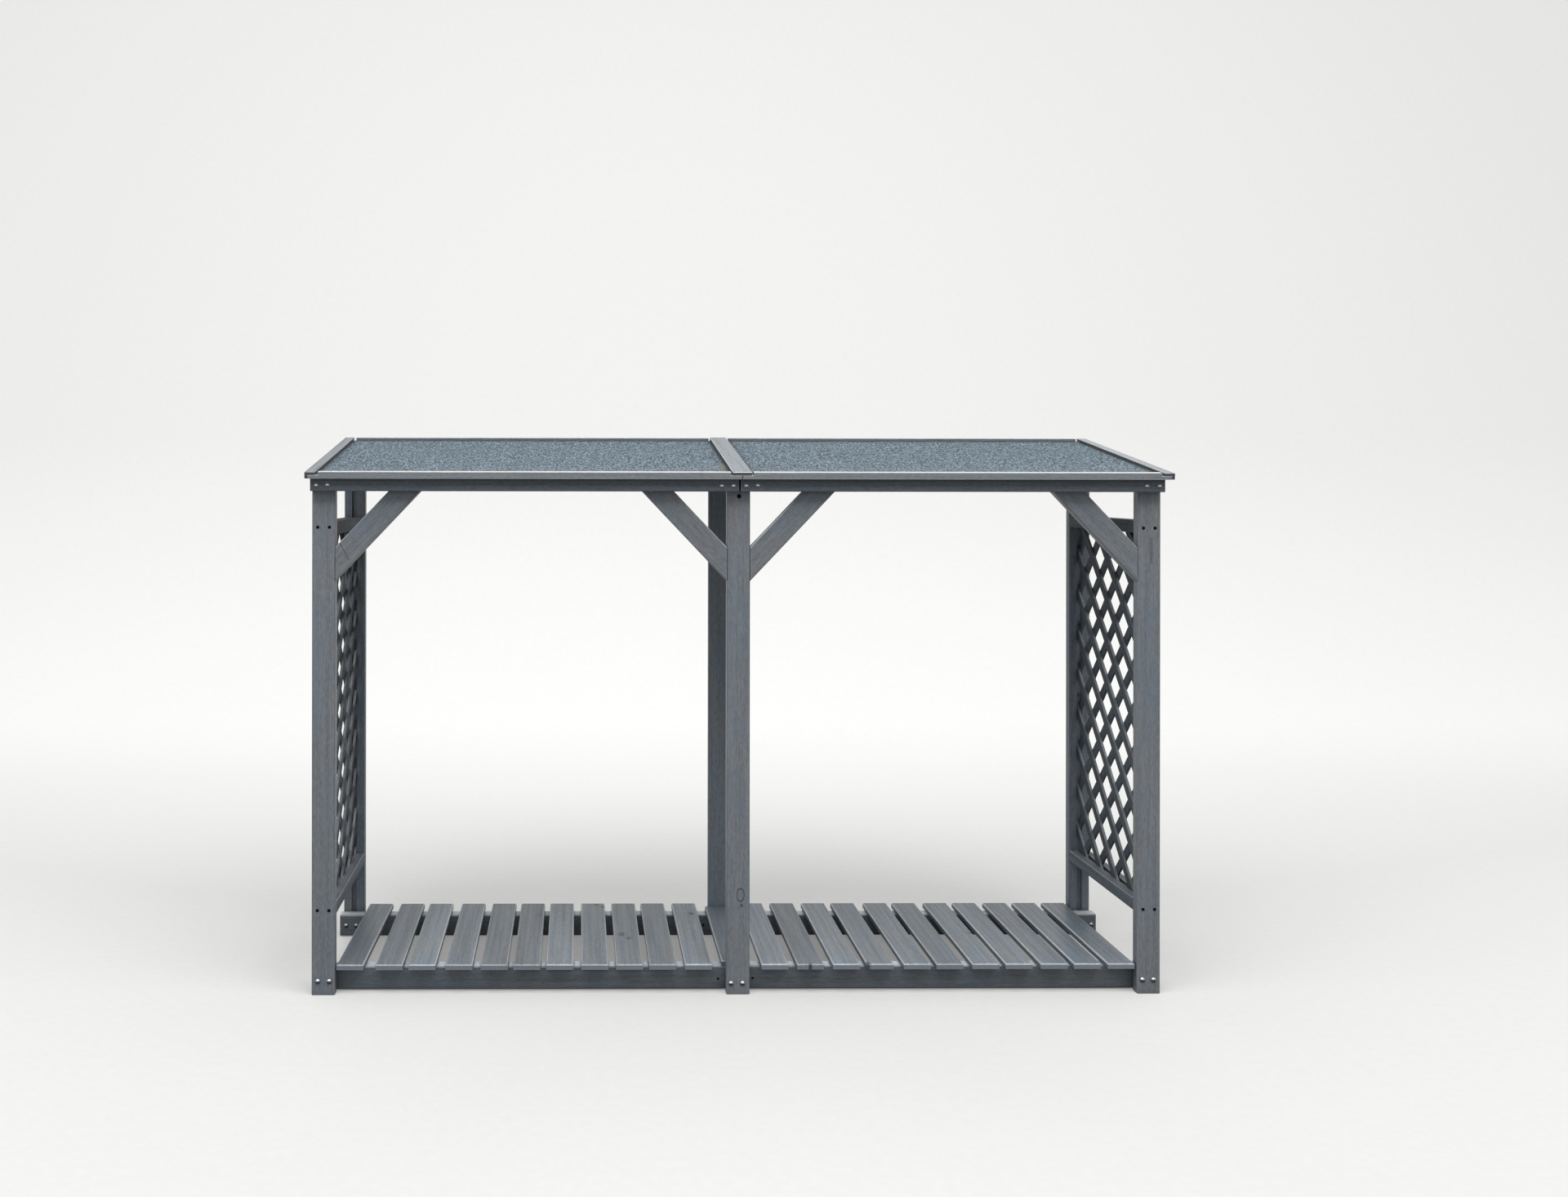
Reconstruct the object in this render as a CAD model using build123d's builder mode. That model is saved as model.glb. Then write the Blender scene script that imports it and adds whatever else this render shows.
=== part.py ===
from build123d import *
import math
import os

# Double log store. Units are mm, +X to the right, +Y to the rear, +Z up. It is drawn about the middle
# of the frame and saved with the origin on the ground below the middle of the whole store. Depths
# are counted from the front faces of the front posts.

# Posts and the frame they stand in
bay_pitch = 1065.5
post_width = 60.0
post_depth = 32.0
frame_depth = 542.0
post_arris = 3.0
middle_shift = 2.8

# Beams on the outer faces of the posts, just below the roof
beam_depth = 28.0
beam_height = 39.2
beam_joint_gap = 4.0
beam_arris = 2.0

# Slanted braces in the front frame
brace_width = 60.0
brace_angle = 46.5
brace_drop = 270.0
brace_arris = 2.0

# Roof: a boarded deck with felt on it, strips on all four edges, trims and a cover batten; it was
# laid a little to the right of the frame
deck_low = 1331.5
roof_slope = 9.6
deck_rear_overhang = 16.3
deck_side_overhang = 6.4
roof_shift = 3.4
deck_thickness = 7.3
deck_boards = 11
deck_joint_shift = 7.5
deck_joint_gap = 1.8
deck_vee = 2.0
vee_turn = 45.0
felt_thickness = 1.5
strip_depth = 18.0
strip_lip = 8.6
side_strip_width = 8.5
trim_width = 26.5
trim_thickness = 7.5
batten_width = 49.0
batten_thickness = 9.5
batten_arris = 1.5
trim_notch_play = 8.0
batten_notch_play = 4.5
end_setback = 3.0

# Floor
rail_lift = 3.0
rail_height = 60.0
rail_depth = 40.0
rail_joint_gap = 2.0
rail_overrun = 5.0
rail_arris = 3.0
slat_width = 70.0
slat_pitch_wanted = 89.5
slat_thickness = 14.0
slat_setback = 4.0
slat_rear_gap = 4.0
slat_arris = 3.0
slat_end_gap = 4.5
slat_centre_gap = 64.0
first_slat_skew = -0.9
middle_slat_shift = -2.5
middle_slat_play = 0.5

# How far each loose slat has been laid off the even spacing, as a share of the gap between slats,
# counted from the end of the store towards the middle; plus is to the right
left_drift = (0.15, 0.49, 0.24, 0.51, 0.57, 0.29, 0.06, 0.10, 0.09, -0.12, 0.01)
right_drift = (0.0, 0.11, 0.27, 0.22, 0.39, 0.22, 0.47, 0.15, 0.28, 0.11, 0.0)

# End panels: a lattice of two layers of thin slats, held in grooves
panel_rail_width = 60.0
panel_rail_height = 32.0
panel_rail_arris = 2.0
panel_low = 204.5
panel_drop = 116.2
lattice_angle = 45.0
lattice_pitch = 115.8
lattice_bar = 24.0
lattice_layer = 7.0
lattice_play = 0.5
groove_depth = 8.0
groove_play = 0.3

# How far each end panel sits above its drawn place, and the depth and height at which two of its
# lattice bars cross
left_panel = (-3.0, 184.6, 1060.5)
right_panel = (3.0, 229.7, 1060.7)

# Derived places
slope = math.radians(roof_slope)
strip_height = deck_thickness + felt_thickness + strip_lip
felt_top = deck_thickness + felt_thickness
deck_run = (2 * beam_depth + frame_depth + deck_rear_overhang) / math.cos(slope)
front_reach = beam_depth + strip_depth * math.cos(slope) + strip_height * math.sin(slope)
rear_reach = (deck_run + strip_depth) * math.cos(slope) - beam_depth
front_y = (front_reach - rear_reach) / 2
rear_y = front_y + frame_depth
front_beam_y = front_y - beam_depth
post_inner_x = bay_pitch - post_width / 2
post_outer_x = bay_pitch + post_width / 2
deck_half = post_outer_x + deck_side_overhang
front_rail_y = front_y + post_depth
rear_rail_y = rear_y - post_depth
rail_top = rail_lift + rail_height
groove_width = 2 * lattice_layer + 2 * groove_play
sides = ((-1, "left"), (1, "right"))

# The roof plane lies on the underside of the deck and starts over the front of the beams
roof = Plane(
    origin=(0, front_beam_y, deck_low),
    x_dir=(1, 0, 0),
    z_dir=(0, -math.sin(slope), math.cos(slope)),
)
up_slope = Vector(0, math.cos(slope), math.sin(slope))


def deck_height(y):
    """Height of the underside of the deck at a place from front to rear."""
    return deck_low + (y - front_beam_y) * math.tan(slope)


def slope_section(run):
    """Upright plane across the slope at a run from the deck's low end, facing down the slope."""
    return Plane(origin=roof.origin + up_slope * run, x_dir=(1, 0, 0), z_dir=-up_slope)


def save(part, label):
    """Bring a finished piece to the store's own origin, name it and write its STEP file."""
    placed = Pos(-roof_shift, 0, 0) * part
    placed.label = label
    export_step(placed, f"parts/{label}.step")


os.makedirs("parts", exist_ok=True)

# Posts, bevelled on top to the slope; the end posts have the groove of the panel on the inside
for row, post_y, groove_y in (
    ("front", front_y + post_depth / 2, front_rail_y - groove_depth / 2),
    ("rear", rear_y - post_depth / 2, rear_rail_y + groove_depth / 2),
):
    for post_x, place in ((-bay_pitch, "left"), (middle_shift, "middle"), (bay_pitch, "right")):
        with BuildPart() as post:
            with BuildSketch(Plane.XY):
                with Locations((post_x, post_y)):
                    Rectangle(post_width, post_depth)
            extrude(amount=deck_height(rear_y))
            chamfer(post.edges().filter_by(Axis.Z), length=post_arris)
            if place != "middle":
                with BuildSketch(Plane.XY):
                    with Locations((post_x, groove_y)):
                        Rectangle(groove_width, groove_depth)
                extrude(amount=deck_height(rear_y), mode=Mode.SUBTRACT)
            split(bisect_by=roof, keep=Keep.BOTTOM)
        save(post.part, f"{row}_post_{place}")

# Beams, one a bay, butted over the middle posts, with their tops bevelled to the slope
for row, beam_y, beam_high_y in (
    ("front", front_y - beam_depth / 2, front_y),
    ("rear", rear_y + beam_depth / 2, rear_y + beam_depth),
):
    for side, name in sides:
        beam_inner_x = middle_shift + side * beam_joint_gap / 2
        beam_middle_x = (side * post_outer_x + beam_inner_x) / 2
        with BuildPart() as beam:
            with BuildSketch(Plane.XY.offset(deck_height(beam_high_y) - beam_height)):
                with Locations((beam_middle_x, beam_y)):
                    Rectangle(abs(side * post_outer_x - beam_inner_x), beam_depth)
            extrude(amount=beam_height)
            chamfer(beam.faces().sort_by(Axis.Z)[0].edges().filter_by(Axis.X), length=beam_arris)
            split(bisect_by=roof, keep=Keep.BOTTOM)
        save(beam.part, f"{row}_beam_{name}")

# Braces, cut plumb where they meet the posts and to the slope below the deck
brace_plane = Plane.XZ.offset(-front_rail_y)
brace_foot = deck_height(front_y) - brace_drop
brace_cut = brace_width / math.cos(math.radians(brace_angle))
brace_top = deck_height(front_rail_y) + post_depth
brace_tan = math.tan(math.radians(brace_angle))
brace_low_run = (brace_top - brace_foot) / brace_tan
brace_high_run = (brace_top - brace_foot - brace_cut) / brace_tan
for side, name in sides:
    for place, foot_x, lean in (
        ("outer", side * post_inner_x, -side),
        ("inner", middle_shift + side * post_width / 2, side),
    ):
        with BuildPart() as brace:
            with BuildSketch(brace_plane):
                with BuildLine():
                    Polyline(
                        (foot_x, brace_foot),
                        (foot_x + lean * brace_low_run, brace_top),
                        (foot_x + lean * brace_high_run, brace_top),
                        (foot_x, brace_foot + brace_cut),
                        close=True,
                    )
                make_face()
            extrude(amount=post_depth)
            grain = Axis((0, 0, 0), (lean, 0, brace_tan))
            chamfer(brace.edges().filter_by(grain), length=brace_arris)
            split(bisect_by=roof, keep=Keep.BOTTOM)
        save(brace.part, f"brace_{name}_{place}")

# Floor rails against the inner faces of the posts, one a bay; the rear ones run past the end posts
for row, rail_y, overrun in (
    ("front", front_rail_y + rail_depth / 2, 0),
    ("rear", rear_rail_y - rail_depth / 2, rail_overrun),
):
    for side, name in sides:
        floor_rail_outer_x = side * (post_outer_x + overrun)
        floor_rail_inner_x = middle_shift + side * rail_joint_gap / 2
        floor_rail_middle_x = (floor_rail_outer_x + floor_rail_inner_x) / 2
        with BuildPart() as floor_rail:
            with BuildSketch(Plane.XY.offset(rail_lift)):
                with Locations((floor_rail_middle_x, rail_y)):
                    Rectangle(abs(floor_rail_outer_x - floor_rail_inner_x), rail_depth)
            extrude(amount=rail_height)
            chamfer(floor_rail.edges().filter_by(Axis.X), length=rail_arris)
        save(floor_rail.part, f"{row}_floor_rail_{name}")

# Floor slats, laid loose on the rails: as many as fill the bay at about the wanted spacing
slat_outer_x = post_inner_x - slat_end_gap - slat_width / 2
slat_inner_x = slat_centre_gap + slat_width / 2
slat_length = frame_depth - slat_setback - slat_rear_gap
slat_spaces = round((slat_outer_x - slat_inner_x) / slat_pitch_wanted)
slat_pitch = (slat_outer_x - slat_inner_x) / slat_spaces
for side, name, drift in ((-1, "left", left_drift), (1, "right", right_drift)):
    with BuildPart() as floor_slats:
        with BuildSketch(Plane.XY.offset(rail_top)):
            for count in range(slat_spaces + 1):
                drifted = drift[count % len(drift)] * (slat_pitch - slat_width)
                slat_x = side * (slat_outer_x - count * slat_pitch) + drifted
                skew = first_slat_skew if (name, count) == ("left", 0) else 0
                with Locations((slat_x, front_y + slat_setback + slat_length / 2)):
                    Rectangle(slat_width, slat_length, rotation=skew)
        extrude(amount=slat_thickness)
        slat_tops = floor_slats.faces().filter_by(Axis.Z).group_by(Axis.Z)[-1]
        chamfer(slat_tops.edges(), length=slat_arris)
    save(floor_slats.part, f"floor_slats_{name}")

middle_slat_length = rear_rail_y - front_rail_y - 2 * middle_slat_play
with BuildPart() as middle_slat:
    with BuildSketch(Plane.XY.offset(rail_top)):
        with Locations((middle_slat_shift, (front_rail_y + rear_rail_y) / 2)):
            Rectangle(slat_width, middle_slat_length)
    extrude(amount=slat_thickness)
    chamfer(middle_slat.faces().sort_by(Axis.Z)[-1].edges(), length=slat_arris)
save(middle_slat.part, "floor_slat_middle")

# End panels between the posts: grooved rails, and a lattice whose inner layer falls to the front
# and whose outer layer falls to the rear
panel_middle_y = (front_rail_y + rear_rail_y) / 2
panel_span = rear_rail_y - front_rail_y
panel_high = deck_height(front_y) - panel_drop
lattice_width = panel_span + 2 * groove_depth - 2 * lattice_play
lattice_base = panel_low + panel_rail_height - groove_depth
lattice_top = panel_high - panel_rail_height + groove_depth - lattice_play
lattice_height = lattice_top - lattice_base
lattice_reach = lattice_width + lattice_height
for side, name, (lift, cross_depth, cross_height) in (
    (-1, "left", left_panel),
    (1, "right", right_panel),
):
    for place, rail_z, groove_z in (
        ("bottom", panel_low, panel_low + panel_rail_height - groove_depth),
        ("top", panel_high - panel_rail_height, panel_high - panel_rail_height),
    ):
        with BuildPart() as panel_rail:
            with BuildSketch(Plane.XY.offset(rail_z + lift)):
                with Locations((side * bay_pitch, panel_middle_y)):
                    Rectangle(panel_rail_width, panel_span)
            extrude(amount=panel_rail_height)
            chamfer(panel_rail.edges().filter_by(Axis.Y), length=panel_rail_arris)
            with BuildSketch(Plane.XY.offset(groove_z + lift)):
                with Locations((side * bay_pitch, panel_middle_y)):
                    Rectangle(groove_width, panel_span)
            extrude(amount=groove_depth, mode=Mode.SUBTRACT)
        save(panel_rail.part, f"{name}_panel_{place}_rail")

    panel_middle_z = (lattice_base + lattice_top) / 2 + lift
    cross_y = front_y + cross_depth - panel_middle_y
    cross_z = cross_height - panel_middle_z
    with BuildPart() as lattice:
        for lean in (1, -1):
            # Heights at which the bars of this lean pass the middle of the panel
            phase = cross_z - lean * cross_y
            first = math.ceil((-lattice_reach / 2 - phase) / lattice_pitch)
            last = math.floor((lattice_reach / 2 - phase) / lattice_pitch)
            bars = [phase + lattice_pitch * count for count in range(first, last + 1)]
            layer_x = side * (bay_pitch - lean * lattice_layer / 2)
            with BuildSketch(Plane.YZ.offset(layer_x - lattice_layer / 2)):
                with Locations(*[(panel_middle_y, panel_middle_z + bar) for bar in bars]):
                    Rectangle(2 * lattice_reach, lattice_bar, rotation=lean * lattice_angle)
                with Locations((panel_middle_y, panel_middle_z)):
                    Rectangle(lattice_width, lattice_height, mode=Mode.INTERSECT)
            extrude(amount=lattice_layer)
    save(lattice.part, f"{name}_lattice")

# Roof: two panels, boarded with vee joints on the underside and felted on top
vee_side = deck_vee * math.sqrt(2)
for side, name in sides:
    deck_outer = roof_shift + side * deck_half
    deck_inner = deck_joint_shift + side * deck_joint_gap / 2
    deck_middle = (deck_outer + deck_inner) / 2
    deck_size = abs(deck_outer - deck_inner)
    board = deck_size / deck_boards
    with BuildPart() as deck:
        with BuildSketch(slope_section(deck_run)):
            with Locations((deck_middle, deck_thickness / 2)):
                Rectangle(deck_size, deck_thickness)
            with Locations((deck_middle, 0)):
                with GridLocations(board, 1, deck_boards - 1, 1):
                    Rectangle(vee_side, vee_side, rotation=vee_turn, mode=Mode.SUBTRACT)
        extrude(amount=deck_run)
    save(deck.part, f"roof_deck_{name}")

    with BuildPart() as felt:
        with BuildSketch(roof.offset(deck_thickness)):
            with Locations((deck_middle, deck_run / 2)):
                Rectangle(deck_size, deck_run)
        extrude(amount=felt_thickness)
    save(felt.part, f"roof_felt_{name}")

# Edge strips, notched down to the felt for the trims and the cover batten
trim_reach = deck_half + side_strip_width - trim_width / 2
for row, strip_run in (("front", 0), ("rear", deck_run + strip_depth)):
    for side, name in sides:
        strip_outer = roof_shift + side * deck_half
        strip_inner = deck_joint_shift + side * deck_joint_gap / 2
        with BuildPart() as strip:
            with BuildSketch(slope_section(strip_run)):
                with Locations(((strip_outer + strip_inner) / 2, strip_height / 2)):
                    Rectangle(abs(strip_outer - strip_inner), strip_height)
                with Locations((roof_shift + side * trim_reach, felt_top + strip_lip)):
                    Rectangle(trim_width + 2 * trim_notch_play, 2 * strip_lip, mode=Mode.SUBTRACT)
                with Locations((deck_joint_shift, felt_top + strip_lip)):
                    Rectangle(batten_width + 2 * batten_notch_play, 2 * strip_lip, mode=Mode.SUBTRACT)
            extrude(amount=strip_depth)
        save(strip.part, f"{row}_edge_strip_{name}")

# Side strips beside the deck, and over them the trims; the trims and the batten over the joint lie
# on the felt and in the notches
cover_run = deck_run + 2 * strip_depth - 2 * end_setback
for side, name in sides:
    with BuildPart() as side_strip:
        with BuildSketch(roof):
            with Locations((roof_shift + side * (deck_half + side_strip_width / 2), deck_run / 2)):
                Rectangle(side_strip_width, cover_run)
        extrude(amount=felt_top)
    save(side_strip.part, f"side_edge_strip_{name}")

    with BuildPart() as trim:
        with BuildSketch(roof.offset(felt_top)):
            with Locations((roof_shift + side * trim_reach, deck_run / 2)):
                Rectangle(trim_width, cover_run)
        extrude(amount=trim_thickness)
    save(trim.part, f"side_trim_{name}")

with BuildPart() as batten:
    with BuildSketch(roof.offset(felt_top)):
        with Locations((deck_joint_shift, deck_run / 2)):
            Rectangle(batten_width, cover_run)
    extrude(amount=batten_thickness)
    batten_top = batten.faces().sort_by(Axis(roof.origin, roof.z_dir))[-1]
    chamfer(batten_top.edges(), length=batten_arris)
save(batten.part, "roof_batten")
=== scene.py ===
import math
import random

import bmesh
import bpy
from mathutils import Matrix, Vector


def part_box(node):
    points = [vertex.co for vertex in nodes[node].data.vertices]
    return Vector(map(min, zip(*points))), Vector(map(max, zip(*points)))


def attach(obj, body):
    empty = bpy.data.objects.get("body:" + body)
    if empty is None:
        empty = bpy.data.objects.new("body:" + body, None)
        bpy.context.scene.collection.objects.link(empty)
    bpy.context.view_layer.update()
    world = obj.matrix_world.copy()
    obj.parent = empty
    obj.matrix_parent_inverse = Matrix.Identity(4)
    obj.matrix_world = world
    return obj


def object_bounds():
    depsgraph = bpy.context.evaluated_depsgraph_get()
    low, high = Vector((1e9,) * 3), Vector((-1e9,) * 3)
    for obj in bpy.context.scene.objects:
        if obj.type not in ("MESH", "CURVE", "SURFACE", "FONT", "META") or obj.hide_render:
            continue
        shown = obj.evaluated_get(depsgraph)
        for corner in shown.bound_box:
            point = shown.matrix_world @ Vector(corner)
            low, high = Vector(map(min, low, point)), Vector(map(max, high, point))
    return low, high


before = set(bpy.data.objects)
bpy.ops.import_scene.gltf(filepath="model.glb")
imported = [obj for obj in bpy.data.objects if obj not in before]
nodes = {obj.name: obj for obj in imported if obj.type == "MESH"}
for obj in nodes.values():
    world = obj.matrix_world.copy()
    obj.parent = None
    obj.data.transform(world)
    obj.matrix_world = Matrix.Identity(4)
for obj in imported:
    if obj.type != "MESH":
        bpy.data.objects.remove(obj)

# Looks of the double log store. The frame's nodes keep their shapes; this script gives them rounded
# arrises and timber, felt and steel materials, and adds the screws and bolts. Metres throughout.

cad_low, cad_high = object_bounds()
scene = bpy.context.scene

ROOT = "root"
FRONT_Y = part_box("front_post_middle")[0].y
BEAM_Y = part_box("front_beam_left")[0].y
RAIL_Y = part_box("front_floor_rail_left")[0].y
RAIL_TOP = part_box("front_floor_rail_left")[1].z
REAR_RAIL_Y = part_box("rear_floor_rail_left")[0].y
SLOPE = math.radians(9.6)
BRACE_ANGLE = math.radians(46.5)

# Spacing and thickness of the floor slats, and the middles of the outermost ones
SLAT_PITCH = 0.0897
SLAT_THICKNESS = 0.014
SLAT_OUTER = {"left": -0.9945, "right": 0.9969}
# Spacing of the lattice bars across their length, and a point (y, z) where two of them cross
LATTICE_PITCH = 0.1158 / math.sqrt(2)
LATTICE_CROSS = {"left": (FRONT_Y + 0.1846, 1.0605), "right": (FRONT_Y + 0.2297, 1.0607)}
DECK_BOARDS = 11

# How far the arrises are rounded
FRAME_ARRIS = 0.0008
SLAT_ARRIS = 0.0007
STRIP_ARRIS = 0.0006
THIN_ARRIS = 0.0005


# --- Small builder for node trees ---------------------------------------------------------------

class Tree:
    """A node tree with helpers that add nodes and link what they are given."""

    def __init__(self, tree):
        self.tree = tree
        self.tree.nodes.clear()

    def put(self, socket, value):
        if isinstance(value, bpy.types.NodeSocket):
            self.tree.links.new(value, socket)
        else:
            socket.default_value = value

    def node(self, kind, inputs=(), **settings):
        made = self.tree.nodes.new(kind)
        for key, value in settings.items():
            setattr(made, key, value)
        for key, value in dict(inputs).items():
            self.put(made.inputs[key], value)
        return made

    def math(self, operation, *values, clamp=False):
        made = self.node("ShaderNodeMath", operation=operation, use_clamp=clamp)
        for index, value in enumerate(values):
            self.put(made.inputs[index], value)
        return made.outputs[0]

    def vector(self, operation, *values, out="Vector"):
        made = self.node("ShaderNodeVectorMath", operation=operation)
        for index, value in enumerate(values):
            self.put(made.inputs["Scale" if operation == "SCALE" and index else index], value)
        return made.outputs[out]

    def split(self, vector):
        made = self.node("ShaderNodeSeparateXYZ", {"Vector": vector})
        return made.outputs[0], made.outputs[1], made.outputs[2]

    def join(self, x, y, z=0.0):
        return self.node("ShaderNodeCombineXYZ", {"X": x, "Y": y, "Z": z}).outputs[0]

    def stretch(self, along, across, deep, run, thin):
        """A place for noise that is drawn out along the grain."""
        return self.join(
            self.math("MULTIPLY", along, run),
            self.math("MULTIPLY", across, thin),
            self.math("MULTIPLY", deep, thin),
        )

    def noise(self, vector, scale=1.0, detail=3.0, roughness=0.55):
        made = self.node(
            "ShaderNodeTexNoise",
            {"Vector": vector, "Scale": scale, "Detail": detail, "Roughness": roughness},
        )
        return made.outputs[0]

    def ramp(self, factor, *stops):
        """Maps a value through (place, value) stops."""
        made = self.node("ShaderNodeValToRGB", {"Fac": factor})
        elements = made.color_ramp.elements
        while len(elements) < len(stops):
            elements.new(0.5)
        for element, (place, value) in zip(elements, stops):
            element.position = place
            element.color = (value, value, value, 1)
        return made.outputs[0]

    def range(self, value, low, high, to_low=0.0, to_high=1.0):
        made = self.node("ShaderNodeMapRange", clamp=True)
        for index, item in enumerate((value, low, high, to_low, to_high)):
            self.put(made.inputs[index], item)
        return made.outputs[0]

    def mix(self, factor, a, b):
        made = self.node("ShaderNodeMix", data_type="RGBA")
        for index, value in ((0, factor), (6, a), (7, b)):
            self.put(made.inputs[index], value)
        return made.outputs[2]

    def seen(self):
        """1 where a surface is shown, straight or in a gloss or glass, 0 where it only gives light."""
        path = self.node("ShaderNodeLightPath").outputs
        rays = self.math("ADD", path["Is Camera Ray"], path["Is Glossy Ray"])
        return self.math("ADD", rays, path["Is Transmission Ray"], clamp=True)


class Shader(Tree):
    """A material's tree, with the shader that its colour, roughness and bump go to."""

    def __init__(self, name):
        self.material = bpy.data.materials.new(name)
        self.material.use_nodes = True
        super().__init__(self.material.node_tree)
        self.bsdf = self.node("ShaderNodeBsdfPrincipled")
        self.node("ShaderNodeOutputMaterial", {"Surface": self.bsdf.outputs[0]})

    def finish(self, colour, roughness, height, distance, strength):
        relief = {"Height": height, "Distance": distance, "Strength": strength}
        bump = self.node("ShaderNodeBump", relief)
        self.put(self.bsdf.inputs["Base Color"], colour)
        self.put(self.bsdf.inputs["Roughness"], roughness)
        self.put(self.bsdf.inputs["Normal"], bump.outputs[0])
        return self.material


def linear(r, g, b):
    """A colour as read from a screen, 0 to 255, in the renderer's linear units."""
    def one(value):
        value /= 255
        return value / 12.92 if value <= 0.04045 else ((value + 0.055) / 1.055) ** 2.4
    return (one(r), one(g), one(b), 1.0)


def shade(colour, factor):
    return tuple(min(1.0, part * factor) for part in colour[:3]) + (1.0,)


# --- Timber ---------------------------------------------------------------------------------------

GLAZE = linear(106, 110, 115)
# Below this tone the glaze is also painted bluer, as painted shade
SHADE_BLUER_BELOW = 0.9
RING_SPACING = 0.0047
# How far apart the places for knots lie, and how far from one its distance is counted, along the
# grain and across it. The second pair draws the knots out along the grain.
KNOT_CELL = (0.43, 0.1)
KNOT_REACH = (0.27, 0.1)


def grain_axes(grain, face):
    """The directions along the fibres, across the wide face and out of it."""
    along = Vector(grain).normalized()
    normal = Vector(face).normalized()
    return along, normal.cross(along).normalized(), normal


def timber(name, grain, face, centre, tone, seed, *, top_light=1.25, arris_light=2.2, side_shade=1.0, end_grain_and_light=0.0,
           figure=1.0, gloss=0.4, roughness=0.5, corner_shade=(0.03, 0.5), clear=0.62, pitch=None, mirror=0,
           knots=(), rings=(), lines=(), fades=()):
    """Glazed softwood: growth rings round a wandering pith, fibres, knots, arrises paler with wear and
    painted highlight, and painted shade.

    grain is the way the fibres run, face the wide face's normal, centre a point on the piece's axis
    and tone how pale the glaze is. crown is how much paler the faces that look up are painted, as
    painted light from above, lip the same for upper arrises, as a painted highlight, and flanks how
    much darker the narrow side faces are painted, as painted shade. ends is how far the end grain is
    darker or, below 0, painted paler, as painted light. figure is how strongly the rings show, grime
    how far from an inner corner the painted shade reaches and how dark it gets, and clear the share
    of places for knots that have none. pitch is the spacing of boards that lie side by side in one
    node, and mirror the side on which a lattice's outer layer lies, whose bars lean the other way.

    The last four are marks that show in the photograph: knots as (point, radius), rings round knots
    as (point, half length, half width), lines, which are cracks and joints, as (start, end, half
    width), and fades, which are soft dark streaks, in the same way.
    """
    s = Shader(name)
    axes = grain_axes(grain, face)
    place = s.node("ShaderNodeTexCoord").outputs["Object"]
    local = s.vector("SUBTRACT", place, tuple(centre))
    if mirror:
        x, y, z = s.split(local)
        outer = s.math("GREATER_THAN", s.math("MULTIPLY", x, float(mirror)), 0.0)
        lean = s.math("MULTIPLY_ADD", outer, -2.0, 1.0)
        local = s.join(s.math("MULTIPLY_ADD", outer, 0.3, x), s.math("MULTIPLY", y, lean), z)
    along, across, deep = (s.vector("DOT_PRODUCT", local, tuple(axis), out="Value") for axis in axes)
    wide = across
    if pitch:
        # Boards side by side: each gets its own place in the log and its own tone
        board = s.math("ROUND", s.math("DIVIDE", across, pitch))
        across = s.math("MULTIPLY_ADD", board, -pitch, across)
        own = s.node(
            "ShaderNodeTexWhiteNoise", {"W": s.math("ADD", board, 17.3 + seed)}, noise_dimensions="1D"
        )
        r1, r2, r3 = s.split(own.outputs["Color"])
    else:
        draw = random.Random(seed)
        r1, r2, r3 = (draw.random() for _ in range(3))

    run = s.math("ADD", along, s.math("MULTIPLY_ADD", r3, 9.0, seed * 1.7))
    sway = s.math("SUBTRACT", s.noise(s.stretch(run, across, deep, 2.9, 8.8), 1.0, 2.0), 0.5)

    # Knots bend the rings round themselves
    spot = s.join(
        s.math("MULTIPLY", run, 1 / KNOT_CELL[0]),
        s.math("MULTIPLY_ADD", across, 1 / KNOT_CELL[1], seed * 3.1),
    )
    places = {"Vector": spot, "Scale": 1.0, "Randomness": 0.8}
    cells = s.node("ShaderNodeTexVoronoi", places, voronoi_dimensions="2D")
    away = s.vector("SUBTRACT", spot, cells.outputs["Position"])
    away = s.vector("LENGTH", s.vector("MULTIPLY", away, (*KNOT_REACH, 0.0)), out="Value")
    size = s.range(s.split(cells.outputs["Color"])[0], clear, 1.0, 0.0003, 0.0075)
    knot = s.math("DIVIDE", away, size)

    def flat(point):
        offset = Vector(point) - Vector(centre)
        return offset.dot(axes[0]), offset.dot(axes[1])

    def oval(point, half_length, half_width):
        at, side = flat(point)
        return s.vector("LENGTH", s.join(
            s.math("DIVIDE", s.math("SUBTRACT", along, at), half_length),
            s.math("DIVIDE", s.math("SUBTRACT", wide, side), half_width),
        ), out="Value")

    def from_line(start, end):
        """Distance from the straight line between two points."""
        a = Vector((*flat(start), 0.0))
        reach = Vector((*flat(end), 0.0)) - a
        back = s.vector("SUBTRACT", s.join(along, wide), tuple(a))
        share = s.vector("DOT_PRODUCT", back, tuple(reach / reach.length_squared), out="Value")
        share = s.math("ADD", share, 0.0, clamp=True)
        nearest = s.vector("SCALE", tuple(reach), share)
        return s.vector("DISTANCE", back, nearest, out="Value")

    for point, radius in knots:
        knot = s.math("MINIMUM", knot, oval(point, radius * 1.6, radius))
    bend = s.math("DIVIDE", 0.012, s.math("MULTIPLY_ADD", knot, knot, 1.2))

    # The rings lie round a pith that wanders, and are counted by the distance from it
    from_a = s.math("ADD", s.math("SUBTRACT", across, s.math("MULTIPLY_ADD", r1, 0.10, -0.05)),
                    s.math("MULTIPLY", sway, 0.03))
    from_b = s.math("ADD", s.math("ADD", deep, s.math("MULTIPLY_ADD", r2, 0.05, 0.012)),
                    s.math("MULTIPLY", sway, 0.05 * figure))
    reach = s.math("ADD", s.vector("LENGTH", s.join(from_a, from_b), out="Value"), bend)
    ripple = s.noise(s.stretch(run, across, deep, 7.0, 60.0))
    reach = s.math("MULTIPLY_ADD", ripple, 0.0022, reach)
    ring = s.math("FRACT", s.math("MULTIPLY", reach, 1 / RING_SPACING))
    late = s.ramp(ring, (0.0, 0.10), (0.55, 0.22), (0.86, 1.0), (0.94, 0.85), (1.0, 0.10))

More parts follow.
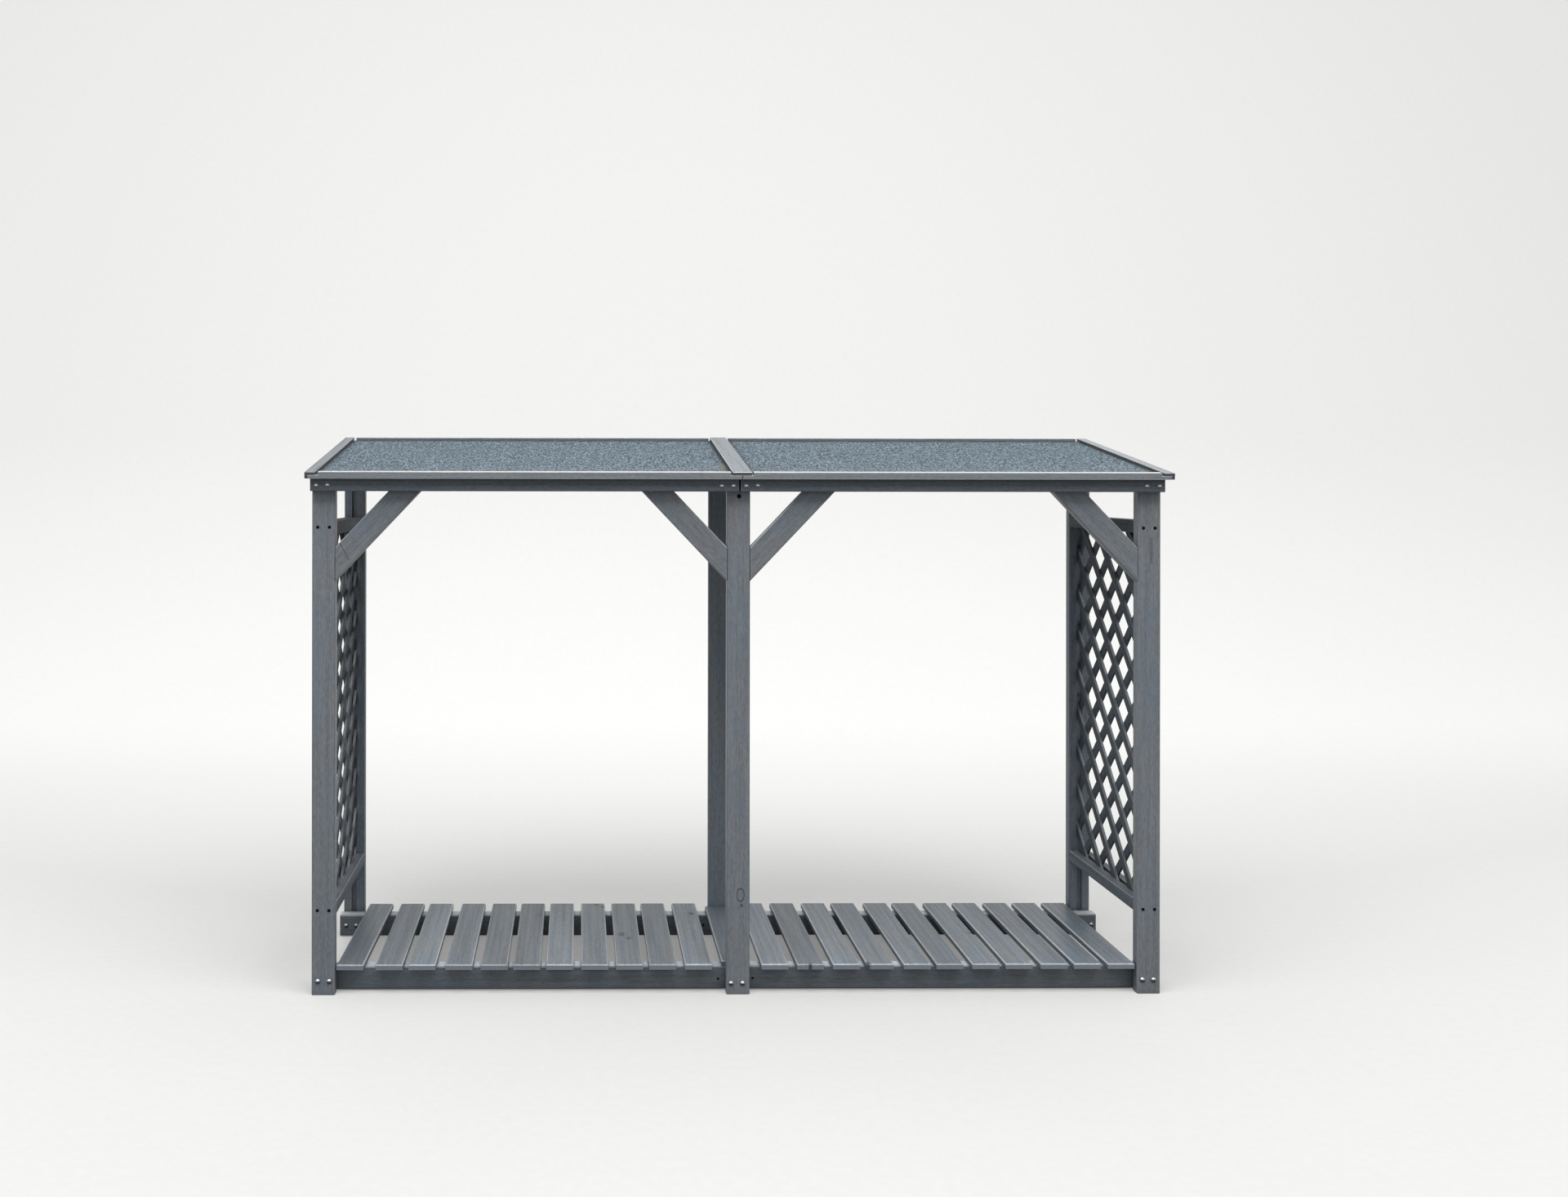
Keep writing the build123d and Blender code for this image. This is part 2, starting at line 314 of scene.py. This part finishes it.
    fibre = s.noise(s.stretch(run, across, deep, 12.0, 560.0), 1.0, 3.0, 0.6)
    streak = s.noise(s.stretch(run, across, deep, 2.2, 105.0), 1.0, 4.0, 0.6)
    cloud = s.noise(s.stretch(run, across, deep, 5.0, 16.0), 1.0, 5.0, 0.62)
    fleck = s.noise(s.stretch(run, across, deep, 75.0, 230.0), 1.0, 2.0, 0.6)

    base = shade(GLAZE, tone)
    # Darker tones are painted bluer, as painted shade
    if tone < SHADE_BLUER_BELOW:
        base = (base[0] * 0.93, base[1], base[2] * 1.05, 1.0)
    colour = s.mix(s.range(late, 0.0, 1.0, 0.0, 0.34 * figure), base, shade(base, 0.58))
    colour = s.mix(s.range(streak, 0.42, 0.66, 0.0, 0.62), colour, shade(base, 1.42))
    colour = s.mix(s.range(streak, 0.48, 0.30, 0.0, 0.62), colour, shade(base, 0.58))
    colour = s.mix(s.range(fibre, 0.45, 0.72, 0.0, 0.45), colour, shade(base, 1.7))
    colour = s.mix(s.range(fibre, 0.5, 0.27, 0.0, 0.55), colour, shade(base, 0.42))
    colour = s.mix(s.range(fleck, 0.50, 0.68, 0.0, 0.50), colour, shade(base, 1.6))
    colour = s.mix(s.range(fleck, 0.48, 0.30, 0.0, 0.50), colour, shade(base, 0.48))
    warm = (base[0] * 1.10, base[1], base[2] * 0.90, 1.0)
    cool = (base[0] * 0.84, base[1], base[2] * 1.10, 1.0)
    colour = s.mix(s.range(cloud, 0.38, 0.62, 0.0, 0.55), colour, cool)
    colour = s.mix(s.range(cloud, 0.60, 0.38, 0.0, 0.35), colour, warm)
    if pitch:
        colour = s.vector("SCALE", colour, s.range(r3, 0.0, 1.0, 0.80, 1.24))

    # Faces that look up are painted paler, as painted light from above and a painted sheen, and where
    # much paler also grey
    normal = s.node("ShaderNodeNewGeometry").outputs["Normal"]
    rise = s.split(normal)[2]
    grey = s.node("ShaderNodeRGBToBW", {"Color": colour}).outputs[0]
    neutral = s.vector("SCALE", (0.93, 1.0, 1.06), grey)
    top_lit_colour = s.mix(min(1.0, max(0.0, 2.0 * top_light - 2.0)), colour, neutral)
    colour = s.mix(s.range(rise, 0.80, 0.95), colour, s.vector("SCALE", top_lit_colour, top_light))
    # Upper arrises are painted paler, as a painted highlight along them
    upper = s.math("MULTIPLY", s.range(rise, 0.22, 0.5), s.range(rise, 0.95, 0.84))
    colour = s.mix(upper, colour, s.vector("SCALE", neutral, arris_light))
    # The narrow side faces are painted darker, as painted shade
    if side_shade < 1.0:
        facing = s.math("ABSOLUTE", s.vector("DOT_PRODUCT", normal, tuple(axes[1]), out="Value"))
        colour = s.vector("SCALE", colour, s.range(facing, 0.6, 0.9, 1.0, side_shade))
    # End grain is darker for a value above 0, and painted paler, as painted light, for a value below 0
    if end_grain_and_light:
        facing = s.math("ABSOLUTE", s.vector("DOT_PRODUCT", normal, tuple(axes[0]), out="Value"))
        end = shade(base, 0.25 if end_grain_and_light > 0 else 1.7)
        colour = s.mix(s.range(facing, 0.7, 0.9, 0.0, abs(end_grain_and_light)), colour, end)

    # Arrises are painted paler, as wear and as a painted highlight, and painted shade darkens where
    # pieces meet
    bevel = s.node("ShaderNodeBevel", {"Radius": 0.003}, samples=4)
    edge = s.math("SUBTRACT", 1.0, s.vector("DOT_PRODUCT", bevel.outputs[0], normal, out="Value"))
    worn_and_lit = s.math("MULTIPLY", s.range(edge, 0.01, 0.12), s.range(fibre, 0.35, 0.6, 0.3, 1.0))
    colour = s.mix(s.math("MULTIPLY", worn_and_lit, 0.5), colour, shade(base, 2.3))
    # Painted shade, darker near inner corners and under overhangs
    open_air = s.node("ShaderNodeAmbientOcclusion", {"Distance": corner_shade[0]}, samples=4).outputs["AO"]
    colour = s.mix(s.range(open_air, 0.72, 0.30, 0.0, corner_shade[1]), colour, shade(base, 0.3))

    core = s.range(knot, 1.0, 0.72)
    rim = s.math("MULTIPLY", s.range(knot, 1.7, 1.05), s.range(knot, 0.75, 1.0))
    colour = s.mix(s.math("MULTIPLY", core, 0.95), colour, shade(base, 0.16))
    colour = s.mix(s.math("MULTIPLY", rim, 0.55), colour, shade(base, 0.4))
    height = s.math("MULTIPLY_ADD", late, 0.35, s.math("MULTIPLY", fibre, 0.65))
    height = s.math("MULTIPLY_ADD", core, 0.6, height)
    for point, half_length, half_width in rings:
        off = s.math("ABSOLUTE", s.math("SUBTRACT", oval(point, half_length, half_width), 1.0))
        outline = s.range(off, 0.16, 0.05)
        colour = s.mix(s.math("MULTIPLY", outline, 0.85), colour, shade(base, 0.12))
        height = s.math("MULTIPLY_ADD", outline, -0.8, height)
    for start, end, half_width in lines:
        crack = s.range(from_line(start, end), half_width, half_width * 0.5)
        colour = s.mix(s.math("MULTIPLY", crack, 0.8), colour, shade(base, 0.14))
        height = s.math("MULTIPLY_ADD", crack, -1.5, height)
    for start, end, half_width in fades:
        soft = s.range(from_line(start, end), half_width, 0.0, 0.0, 0.6)
        colour = s.mix(soft, colour, shade(base, 0.4))

    s.bsdf.inputs["Specular IOR Level"].default_value = gloss
    sheen = s.range(streak, 0.3, 0.7, roughness + 0.08, roughness - 0.08)
    return s.finish(colour, sheen, height, 0.00045, 0.8)


def middle(node):
    low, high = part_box(node)
    return (low + high) / 2


def dress(node, material, arris):
    """Gives a CAD node its material and rounds its arrises."""
    obj = nodes[node]
    obj.data.materials.clear()
    obj.data.materials.append(material)
    if arris:
        weld = obj.modifiers.new("weld", "WELD")
        weld.merge_threshold = 0.00002
        rounded = obj.modifiers.new("arris", "BEVEL")
        rounded.width = arris
        rounded.segments = 2
        rounded.limit_method = "ANGLE"
        rounded.angle_limit = math.radians(20)


X, Y, Z = (1, 0, 0), (0, 1, 0), (0, 0, 1)
UP_SLOPE = (0, math.cos(SLOPE), math.sin(SLOPE))
OFF_SLOPE = (0, -math.sin(SLOPE), math.cos(SLOPE))

FEW_KNOTS = 0.97

# What marks the single timbers that the photograph shows plainly
MARKS = {
    "front_post_middle": {
        "rings": [((0.0054, FRONT_Y, 0.2565), 0.0165, 0.0095)],
        "knots": [((0.0082, FRONT_Y, 0.2296), 0.0026)],
        "clear": FEW_KNOTS,
    },
    "front_post_left": {"clear": FEW_KNOTS},
    "front_post_right": {
        "fades": [((1.0678, FRONT_Y, 1.113), (1.0678, FRONT_Y, 1.176), 0.006)],
        "clear": FEW_KNOTS,
    },
    "brace_left_outer": {
        "lines": [((-1.0285, FRONT_Y, 1.1658), (-1.0035, FRONT_Y, 1.1186), 0.0012)],
        "clear": FEW_KNOTS,
    },
}

# Knots that show on the left bay's floor slats
SLAT_KNOTS = tuple(
    ((x, FRONT_Y + depth, RAIL_TOP + SLAT_THICKNESS), radius)
    for x, depth, radius in (
        (-0.2927, 0.2498, 0.0090), (-0.2750, 0.2154, 0.0065), (-0.3602, 0.5227, 0.0060),
        (-0.3404, 0.5040, 0.0060), (-0.0869, 0.4357, 0.0080),
    )
)

seed = 1
for row in ("front", "rear"):
    for side in ("left", "middle", "right"):
        node = f"{row}_post_{side}"
        seed += 1
        # The rear posts get a darker tone, as painted shade under the roof
        tone = 1.0 if row == "front" else 0.85
        dress(node, timber(node, Z, Y, middle(node), tone, seed, **MARKS.get(node, {})), FRAME_ARRIS)
    for side in ("left", "right"):
        seed += 1
        node = f"{row}_beam_{side}"
        # The beams get a darker tone, as painted shade under the eaves
        dress(node, timber(node, X, Y, middle(node), 0.62, seed, arris_light=1.6, gloss=0.25,
                           corner_shade=(0.10, 0.95), clear=0.9), FRAME_ARRIS)
        seed += 1
        node = f"{row}_floor_rail_{side}"
        # The floor rails' darker tone is painted shade, and their much paler tops are painted light
        dress(node, timber(node, X, Y, middle(node), 0.66, seed, top_light=4.4, figure=1.6,
                           corner_shade=(0.05, 0.8)), FRAME_ARRIS)
        seed += 1
        node = f"{row}_edge_strip_{side}"
        # The edge strips' much paler tops and upper arrises are a painted highlight
        dress(node, timber(node, X, Z, middle(node), 1.08, seed, top_light=2.9, arris_light=2.9, gloss=1.0,
                           roughness=0.14, clear=FEW_KNOTS), STRIP_ARRIS)

for side, sign in (("left", -1), ("right", 1)):
    for spot, lean in (("outer", -sign), ("inner", sign)):
        node = f"brace_{side}_{spot}"
        grain = (lean * math.cos(BRACE_ANGLE), 0, math.sin(BRACE_ANGLE))
        seed += 1
        # The brace left of the middle post shows more figure than the others
        figure = 1.9 if node == "brace_left_inner" else 1.3
        marks = MARKS.get(node, {"clear": FEW_KNOTS})
        dress(node, timber(node, grain, Y, middle(node), 0.97, seed, top_light=1.5, figure=figure,
                           **marks), FRAME_ARRIS)
    for spot in ("top", "bottom"):
        node = f"{side}_panel_{spot}_rail"
        seed += 1
        # The top rails get a darker tone than the bottom ones, as painted shade under the roof, and
        # less gloss
        tone, gloss = (0.47, 0.12) if spot == "top" else (0.64, 0.25)
        dress(node, timber(node, Y, Z, middle(node), tone, seed, top_light=1.35, gloss=gloss,
                           roughness=0.65), STRIP_ARRIS)
    node = f"{side}_lattice"
    seed += 1
    cross_y, cross_z = LATTICE_CROSS[side]
    centre = Vector((middle(node).x, cross_y, cross_z))
    # The lattice's dark tone is painted shade
    dress(node, timber(node, (0, 1, 1), X, centre, 0.47, seed, gloss=0.12, roughness=0.7,
                       pitch=LATTICE_PITCH, mirror=sign), THIN_ARRIS)
    node = f"floor_slats_{side}"
    seed += 1
    centre = Vector((SLAT_OUTER[side], middle(node).y, middle(node).z))
    knots = SLAT_KNOTS if side == "left" else ()
    # The slats' end faces are painted paler, as painted light, and their upper arrises a painted
    # highlight
    dress(node, timber(node, Y, Z, centre, 0.80, seed, top_light=0.94, arris_light=2.5, end_grain_and_light=-0.7, figure=2.0,
                       roughness=0.42, pitch=SLAT_PITCH, knots=knots), SLAT_ARRIS)
    node = f"side_trim_{side}"
    seed += 1
    # The right trim's top is painted paler than the left one's, as painted light; the trims' sides are
    # painted shade and their upper arrises a painted highlight
    top_light = 0.97 if side == "left" else 1.6
    dress(node, timber(node, UP_SLOPE, OFF_SLOPE, middle(node), 1.0, seed, top_light=top_light, arris_light=3.2,
                       side_shade=0.36, end_grain_and_light=0.9, roughness=0.42), THIN_ARRIS)
    node = f"side_edge_strip_{side}"
    seed += 1
    # The side edge strips' sides are painted darker, as painted shade
    dress(node, timber(node, UP_SLOPE, OFF_SLOPE, middle(node), 0.8, seed, side_shade=0.5, end_grain_and_light=0.9),
          THIN_ARRIS)
    node = f"roof_deck_{side}"
    seed += 1
    low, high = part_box(node)
    dress(node, timber(node, UP_SLOPE, OFF_SLOPE, middle(node), 0.7, seed,
                       pitch=(high.x - low.x) / DECK_BOARDS), 0)
seed += 1
node = "floor_slat_middle"
dress(node, timber(node, Y, Z, middle(node), 0.74, seed, top_light=0.94, arris_light=2.5), SLAT_ARRIS)
seed += 1
node = "roof_batten"
# A joint across the batten
seam_y, seam_z = BEAM_Y + 0.3095, 1.4024
seam = ((-0.0398, seam_y, seam_z), (-0.0124, seam_y, seam_z), 0.0009)
# The batten's sides are painted shade and its upper arrises a painted highlight
dress(node, timber(node, UP_SLOPE, OFF_SLOPE, middle(node), 1.0, seed, top_light=1.12, arris_light=3.6,
                   side_shade=0.36, end_grain_and_light=0.8, roughness=0.42, lines=[seam]), STRIP_ARRIS)


# --- Roofing felt ---------------------------------------------------------------------------------

SLATE = linear(79, 92, 101)
DUST = linear(84, 98, 104)
BARE = linear(116, 112, 114)
BROWN = linear(126, 116, 100)
# Where the felt is stained beside the batten
STAIN = (-0.0267, FRONT_Y + 0.112, 1.3641)


def felt(name, stain=None):
    """Mineral felt: slate granules lying in small clumps on bitumen, washed bare at the eaves."""
    s = Shader(name)
    place = s.node("ShaderNodeTexCoord").outputs["Object"]
    # Rain has drawn the clumps out down the slope
    drawn = s.vector("MULTIPLY", place, (1.0, 0.42, 0.42))
    grain = s.node("ShaderNodeTexVoronoi", {"Vector": place, "Scale": 420.0})
    tone, hue, _ = s.split(grain.outputs["Color"])
    clump = s.noise(drawn, 205.0, 1.0, 0.5)
    curl = s.noise(drawn, 110.0, 2.0, 0.6)
    drift = s.noise(place, 5.0, 4.0, 0.6)
    # Single granules, of which some are pale and some dark, then clumps and the gaps between them
    colour = s.mix(s.range(tone, 0.15, 0.9), shade(SLATE, 0.66), shade(SLATE, 1.3))
    colour = s.mix(s.range(hue, 0.84, 0.88), colour, shade(SLATE, 2.6))
    colour = s.mix(s.range(hue, 0.12, 0.08), colour, shade(SLATE, 0.3))
    colour = s.mix(s.range(clump, 0.52, 0.64, 0.0, 0.80), colour, shade(SLATE, 2.7))
    colour = s.mix(s.range(clump, 0.48, 0.36, 0.0, 0.85), colour, shade(SLATE, 0.10))
    colour = s.mix(s.range(curl, 0.46, 0.34, 0.0, 0.50), colour, shade(SLATE, 0.35))
    colour = s.mix(s.range(drift, 0.4, 0.7, 0.0, 0.30), colour, DUST)
    from_eaves = s.math("SUBTRACT", s.split(place)[1], cad_low.y)
    washed = s.math("MULTIPLY", s.range(from_eaves, 0.14, 0.07), s.range(clump, 0.3, 0.6, 0.4, 1.0))
    colour = s.mix(s.math("MULTIPLY", washed, 0.4), colour, BARE)
    if stain:
        gap = s.vector("SUBTRACT", place, stain)
        spot = s.vector("LENGTH", s.vector("MULTIPLY", gap, (1.0, 0.35, 0.35)), out="Value")
        colour = s.mix(s.range(spot, 0.022, 0.006, 0.0, 0.75), colour, BROWN)
    # Painted shade darkens the felt against the strips and the batten
    open_air = s.node("ShaderNodeAmbientOcclusion", {"Distance": 0.03}, samples=6).outputs["AO"]
    colour = s.mix(s.range(open_air, 0.96, 0.76, 0.0, 0.9), colour, shade(SLATE, 0.08))
    height = s.math("MULTIPLY_ADD", grain.outputs["Distance"], -0.9, clump)
    return s.finish(colour, 0.88, height, 0.0012, 1.0)


dress("roof_felt_left", felt("felt_left", STAIN), 0)
dress("roof_felt_right", felt("felt_right"), 0)


# --- Screws and bolts -----------------------------------------------------------------------------

def steel(name, colour, roughness, metallic, gloss=0.5, rim=1.0, lower_shade=(0.0, 0.5)):
    """Zinc-plated or dark steel with fine handling marks, with painted shade below and in its recesses.

    rim is the radius beyond which a piece is painted darker, as the painted shade in the hole that its
    head sits in, and dusk how far a face looks up where its painted shade is darkest and where it is
    gone.
    """
    s = Shader(name)
    place = s.node("ShaderNodeTexCoord").outputs["Object"]
    edge = 0.0002
    fine = s.noise(place, 900.0, 3.0, 0.6)
    patch = s.noise(place, 260.0, 3.0, 0.6)
    tint = s.mix(s.range(patch, 0.35, 0.7, 0.0, 0.6), colour, shade(colour, 0.6))
    # Painted shade in the recesses
    open_air = s.node("ShaderNodeAmbientOcclusion", {"Distance": 0.003}, samples=4).outputs["AO"]
    tint = s.mix(s.range(open_air, 0.85, 0.45, 0.0, 0.9), tint, shade(colour, 0.08))
    rise = s.split(s.node("ShaderNodeNewGeometry").outputs["Normal"])[2]
    x, y, _ = s.split(place)
    out = s.vector("LENGTH", s.join(x, y), out="Value")
    # Painted shade in the hole round the head, and on faces that look down
    tint = s.mix(s.range(out, rim, rim + edge), tint, shade(colour, 0.3))
    tint = s.vector("SCALE", tint, s.range(rise, *lower_shade, 0.05, 1.0))
    s.bsdf.inputs["Metallic"].default_value = metallic
    s.bsdf.inputs["Specular IOR Level"].default_value = gloss
    return s.finish(tint, s.range(fine, 0.3, 0.7, roughness - 0.08, roughness + 0.1), fine, 0.0001, 0.5)


ZINC = steel("bright_steel", (0.85, 0.86, 0.87, 1), 0.22, 0.9)
WORN = steel("worn_steel", (0.80, 0.82, 0.84, 1), 0.26, 0.9, rim=0.0038, lower_shade=(-0.3, 0.1))
DULL = steel("dull_steel", (0.50, 0.51, 0.53, 1), 0.3, 0.85, lower_shade=(-0.1, 0.4))
# Black: painted shade in the screw holes, and the toe screw's dark head
DARK = steel("black_steel_hole_shade", (0.010, 0.011, 0.013, 1), 0.7, 0.0, 0.1)


def revolve(name, profile, material, at, facing, sides=28):
    """A turned head from (radius, height) points, standing on a face that looks along facing."""
    mesh = bmesh.new()
    rings = []
    for radius, height in profile:
        if radius == 0:
            rings.append([mesh.verts.new((0, 0, height))])
            continue
        rings.append([
            mesh.verts.new((radius * math.cos(step * math.tau / sides),
                            radius * math.sin(step * math.tau / sides), height))
            for step in range(sides)
        ])
    for low, high in zip(rings, rings[1:]):
        for step in range(sides):
            after = (step + 1) % sides
            if len(high) == 1:
                mesh.faces.new((low[step], low[after], high[0]))
            elif len(low) == 1:
                mesh.faces.new((low[0], high[after], high[step]))
            else:
                mesh.faces.new((low[step], low[after], high[after], high[step]))
    for face in mesh.faces:
        face.smooth = True
    bmesh.ops.recalc_face_normals(mesh, faces=mesh.faces)
    data = bpy.data.meshes.new(name)
    mesh.to_mesh(data)
    mesh.free()
    data.materials.append(material)
    obj = bpy.data.objects.new(name, data)
    scene.collection.objects.link(obj)
    turn = Vector(facing).to_track_quat("Z", "Y").to_matrix().to_4x4()
    obj.matrix_world = Matrix.Translation(Vector(at)) @ turn
    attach(obj, ROOT)


# A pan head in the edge of its hole, mushroom heads of coach bolts, and countersunk heads whose dish is
# black, as the painted shade of a hole
PAN = ((0.0, -0.0002), (0.0060, -0.0002), (0.0056, 0.0009), (0.0041, 0.0002), (0.0037, 0.0003),
       (0.0034, 0.0010), (0.0025, 0.0018), (0.0013, 0.0022), (0.0, 0.0023))
DOME = ((0.0, -0.0002), (0.0064, -0.0002), (0.0066, 0.0006), (0.0061, 0.0020), (0.0049, 0.0034),
        (0.0033, 0.0043), (0.0015, 0.0048), (0.0, 0.0049))
SMALL_DOME = tuple((radius * 0.6, height * 0.7) for radius, height in DOME)
DISH = ((0.0, -0.0002), (0.0041, -0.0002), (0.0043, 0.0003), (0.0040, 0.0005), (0.0034, 0.0003),
        (0.0019, 0.0001), (0.0, 0.0001))
SMALL_DISH = tuple((radius * 0.75, height) for radius, height in DISH)
WIDE_DISH = tuple((radius * 1.35, height) for radius, height in DISH)

FRONT = (0, -1, 0)
FASTENERS = (
    ("beam_screw", PAN, WORN, FRONT, (
        (-1.0831, BEAM_Y, 1.3114), (-1.0546, BEAM_Y, 1.3124), (-0.0467, BEAM_Y, 1.3115),
        (-0.0166, BEAM_Y, 1.3115), (0.0160, BEAM_Y, 1.3116), (0.0457, BEAM_Y, 1.3126),
        (1.0452, BEAM_Y, 1.3123), (1.0778, BEAM_Y, 1.3123),
    )),
    ("coach_bolt", DOME, ZINC, FRONT, (
        (-1.0826, FRONT_Y, 0.0358), (-1.0532, FRONT_Y, 0.0357), (-0.0188, FRONT_Y, 0.0289),
        (0.0110, FRONT_Y, 0.0289), (1.0456, FRONT_Y, 0.0360), (1.0744, FRONT_Y, 0.0360),
    )),
    ("rear_rail_bolt", DOME, DULL, FRONT, (
        (-1.0859, REAR_RAIL_Y, 0.033), (-1.0563, REAR_RAIL_Y, 0.033),
        (1.0525, REAR_RAIL_Y, 0.033), (1.0821, REAR_RAIL_Y, 0.033),
    )),
    ("post_screw", DISH, DARK, FRONT, tuple(
        (post_x + offset, FRONT_Y, z)
        for post_x in (-1.0689, 1.0621) for z in (1.204, 0.218) for offset in (-0.015, 0.015)
    )),
    ("rail_screw", SMALL_DISH, DARK, FRONT, (
        (-0.0493, RAIL_Y, 0.0296), (0.0412, RAIL_Y, 0.0312), (-0.0489, REAR_RAIL_Y, 0.0326),
    )),
    ("beam_joint_screw", WIDE_DISH, DARK, FRONT, ((0.0004, FRONT_Y, 1.2849),)),
    ("toe_screw", SMALL_DOME, DARK, (0, 0, 1), ((-0.0353, FRONT_Y + 0.0425, RAIL_TOP),)),
)
for kind, profile, material, facing, places in FASTENERS:
    for count, at in enumerate(places, 1):
        revolve(f"{kind}_{count}", profile, material, at, facing)


# --- Floor, backdrop, light and camera ------------------------------------------------------------

def cove():
    """A floor that curves up into a backdrop, all one pale sheet that throws back little light."""
    near, wall, bend, top, half = -9.0, 4.2, 1.6, 7.0, 12.0
    steps = 24
    profile = [(near, 0.0)]
    for step in range(steps + 1):
        angle = step / steps * math.pi / 2
        profile.append((wall - bend + bend * math.sin(angle), bend - bend * math.cos(angle)))
    profile.append((wall, top))
    data = bpy.data.meshes.new("studio_floor")
    points = [(x, y, z) for y, z in profile for x in (-half, half)]
    faces = [(2 * i, 2 * i + 1, 2 * i + 3, 2 * i + 2) for i in range(len(profile) - 1)]
    data.from_pydata(points, [], faces)
    for face in data.polygons:
        face.use_smooth = True
    obj = bpy.data.objects.new("studio_floor", data)
    scene.collection.objects.link(obj)
    s = Shader("studio_paper")
    place = s.node("ShaderNodeTexCoord").outputs["Object"]
    speck = s.noise(place, 40.0)
    # The paper is shown paler than the sheet that the light falls on
    pale = s.mix(s.range(speck, 0.3, 0.7), (0.46, 0.46, 0.45, 1), (0.48, 0.48, 0.47, 1))
    dull = (0.26, 0.26, 0.26, 1)
    seen = s.seen()
    # What is further from the lamps than the floor below the store is shown paler still
    x, y, _ = s.split(place)
    away = s.math("MAXIMUM", y, s.math("MULTIPLY", y, -0.3))
    away = s.math("MAXIMUM", away, s.math("MULTIPLY", s.math("ABSOLUTE", x), 0.4))
    lift = s.range(away, -0.6, 3.2, 0.11, 0.50)
    # The backdrop gives the store's rear a little light, which isn't seen on the paper itself
    glow = s.range(y, 1.5, 4.0, 0.0, 0.35)
    glow = s.math("MULTIPLY", s.math("SUBTRACT", 1.0, seen), glow)
    s.bsdf.inputs["Emission Color"].default_value = (1.0, 1.0, 0.99, 1.0)
    s.put(s.bsdf.inputs["Emission Strength"], s.math("MULTIPLY_ADD", seen, lift, glow))
    data.materials.append(s.finish(s.mix(seen, dull, pale), 0.9, speck, 0.0002, 0.3))


cove()

world = bpy.data.worlds.new("studio")
scene.world = world
world.use_nodes = True
sky = Tree(world.node_tree)
# An even grey where it is seen, and where it gives light, more of it from above
height = sky.split(sky.node("ShaderNodeTexCoord").outputs["Generated"])[2]
strength = sky.mix(sky.seen(), sky.range(height, -0.1, 1.0, 0.28, 0.9), (0.82, 0.82, 0.82, 1))
background = sky.node("ShaderNodeBackground", {"Color": (1, 1, 1, 1), "Strength": strength})
sky.node("ShaderNodeOutputWorld", {"Surface": background.outputs[0]})


def softbox(name, place, aim, size, power):
    """A lamp of a width and height in metres and a power in watts, which the camera doesn't see."""
    lamp = bpy.data.lights.new(name, "AREA")
    lamp.shape = "RECTANGLE"
    lamp.size, lamp.size_y = size
    lamp.energy = power
    obj = bpy.data.objects.new(name, lamp)
    obj.location = place
    obj.rotation_euler = (Vector(aim) - Vector(place)).to_track_quat("-Z", "Y").to_euler()
    obj.visible_camera = False
    scene.collection.objects.link(obj)


softbox("overhead", (0.0, -2.0, 4.8), (0.0, -0.1, 0.6), (6.5, 3.0), 260.0)
softbox("front", (-2.0, -6.0, 3.2), (0.0, 0.0, 0.7), (4.0, 3.0), 14.0)

# The camera as fitted to the photograph: its focal length and optical centre in the photograph's
# pixels, where it stands, and how far it is turned to the right and tilted
PHOTO_WIDTH, PHOTO_HEIGHT = 1920, 1466
FOCAL, CENTRE_X, CENTRE_Y = 1740.57, 723.53, 591.195
EYE = (-0.4153, FRONT_Y - 3.6614, 1.3194)
YAW, ROLL = math.radians(0.5251), math.radians(-0.0769)
camera = bpy.data.cameras.new("camera")
camera.sensor_fit = "HORIZONTAL"
camera.sensor_width = 36.0
camera.lens = FOCAL * camera.sensor_width / PHOTO_WIDTH
camera.shift_x = (PHOTO_WIDTH / 2 - CENTRE_X) / PHOTO_WIDTH
camera.shift_y = (CENTRE_Y - PHOTO_HEIGHT / 2) / PHOTO_WIDTH
camera.dof.use_dof = False
camera.clip_end = 100.0
view = bpy.data.objects.new("camera", camera)
scene.collection.objects.link(view)
level = Vector((math.cos(YAW), -math.sin(YAW), 0.0))
ahead = Vector((math.sin(YAW), math.cos(YAW), 0.0))
up = Vector((0.0, 0.0, 1.0))
right = level * math.cos(ROLL) - up * math.sin(ROLL)
top = level * math.sin(ROLL) + up * math.cos(ROLL)
turn = Matrix((right, top, -ahead)).transposed().to_4x4()
view.matrix_world = Matrix.Translation(EYE) @ turn
scene.camera = view

scene.view_settings.view_transform = "Standard"
